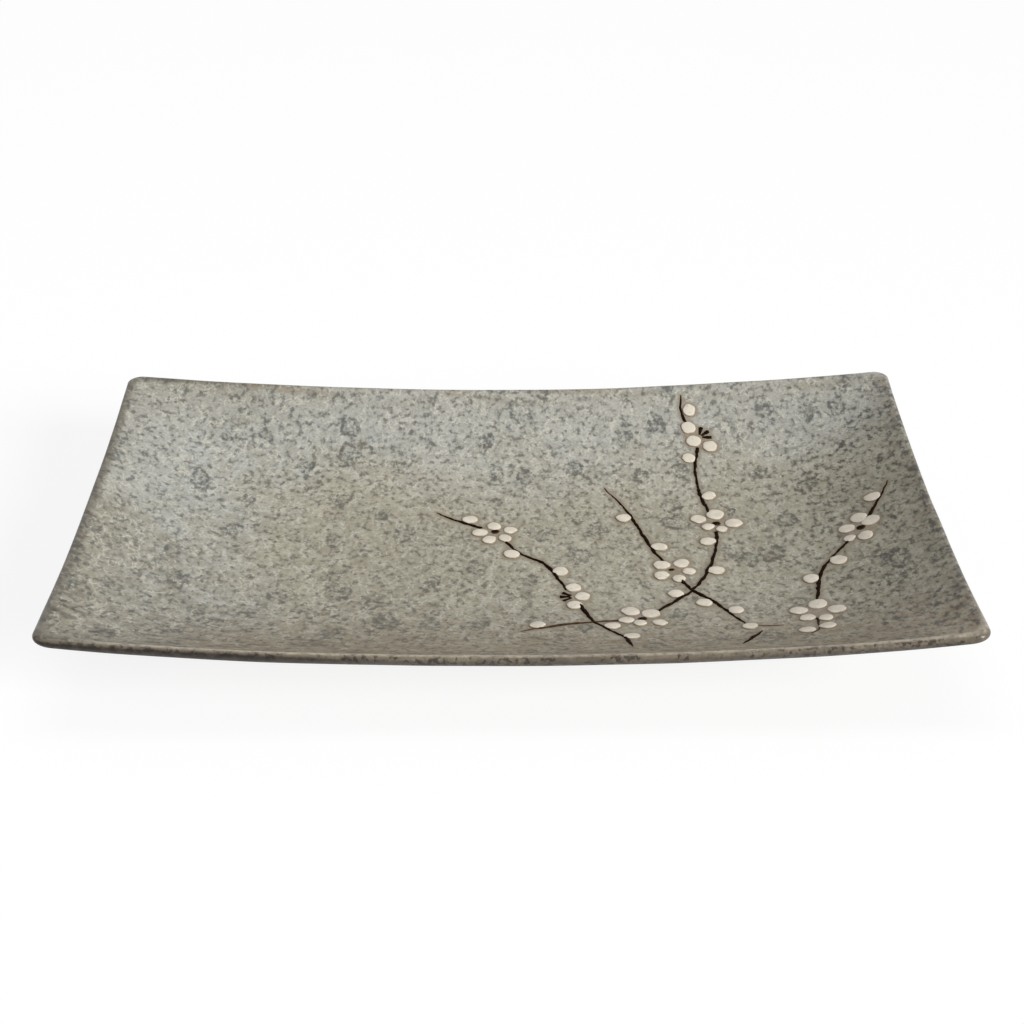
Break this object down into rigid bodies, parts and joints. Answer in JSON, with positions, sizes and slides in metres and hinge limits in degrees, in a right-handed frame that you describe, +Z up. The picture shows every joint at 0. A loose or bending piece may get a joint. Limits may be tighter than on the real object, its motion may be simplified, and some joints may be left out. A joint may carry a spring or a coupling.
{
  "type": "deep plate",
  "caption": "Deep rectangular stoneware serving plate with a sagging rim, lifted corners, a low foot ring, speckled glaze and raised plum-blossom branches on its face.",
  "frame": {"origin": "on the table under the middle of the plate, at the level of the foot's flat bottom", "axes": "+X along the plate's length, +Y across its depth towards the back rim, +Z up"},
  "size_m": [0.3, 0.19, 0.0372],
  "materials": {
    "fired_clay": "bare fired stoneware, matt and slightly gritty",
    "granite_glaze": "glossy grey-green glaze with a pale network and dark specks",
    "white_slip": "cream-white raised slip, satin",
    "dark_slip": "dark brown iron slip, satin"
  },
  "bodies": {
    "root": {"stoneware_body": "fired_clay", "foot_ring": "fired_clay", "glaze_coat": "granite_glaze", "base_glaze": "granite_glaze", "high_blossom": "white_slip", "high_stamen_1": "dark_slip", "high_stamen_2": "dark_slip", "high_stamen_3": "dark_slip", "left_blossom": "white_slip", "left_branch_1": "dark_slip", "left_branch_1_bud_1": "white_slip", "left_branch_2": "dark_slip", "left_branch_2_bud_1": "white_slip", "left_branch_2_bud_2": "white_slip", "left_branch_3": "dark_slip", "left_branch_4": "dark_slip", "left_branch_4_bud_1": "white_slip", "left_branch_4_bud_2": "white_slip", "left_heart": "dark_slip", "long_branch_1": "dark_slip", "long_branch_1_bud_1": "white_slip", "long_branch_2": "dark_slip", "long_branch_2_bud_1": "white_slip", "long_branch_2_bud_2": "white_slip", "long_branch_3": "dark_slip", "long_branch_3_bud_1": "white_slip", "long_branch_3_bud_2": "white_slip", "long_branch_3_bud_3": "white_slip", "long_branch_4": "dark_slip", "long_branch_4_bud_1": "white_slip", "low_blossom": "white_slip", "low_middle_blossom": "white_slip", "low_middle_heart": "dark_slip", "low_right_blossom": "white_slip", "low_stamen_1": "dark_slip", "low_stamen_2": "dark_slip", "low_stamen_3": "dark_slip", "middle_blossom": "white_slip", "middle_branch_1": "dark_slip", "middle_branch_1_bud_1": "white_slip", "middle_branch_1_bud_2": "white_slip", "middle_branch_2": "dark_slip", "middle_branch_3": "dark_slip", "middle_branch_3_bud_1": "white_slip", "middle_branch_3_bud_2": "white_slip", "middle_branch_3_bud_3": "white_slip", "middle_branch_4": "dark_slip", "middle_heart": "dark_slip", "right_blossom": "white_slip", "right_branch_1": "dark_slip", "right_branch_1_bud_1": "white_slip", "right_branch_2": "dark_slip", "right_branch_2_bud_1": "white_slip", "right_branch_2_bud_2": "white_slip", "right_branch_3": "dark_slip", "right_branch_3_bud_1": "white_slip", "right_branch_3_bud_2": "white_slip", "right_heart": "dark_slip", "upper_blossom": "white_slip", "upper_heart": "dark_slip"}
  },
  "joints": []
}
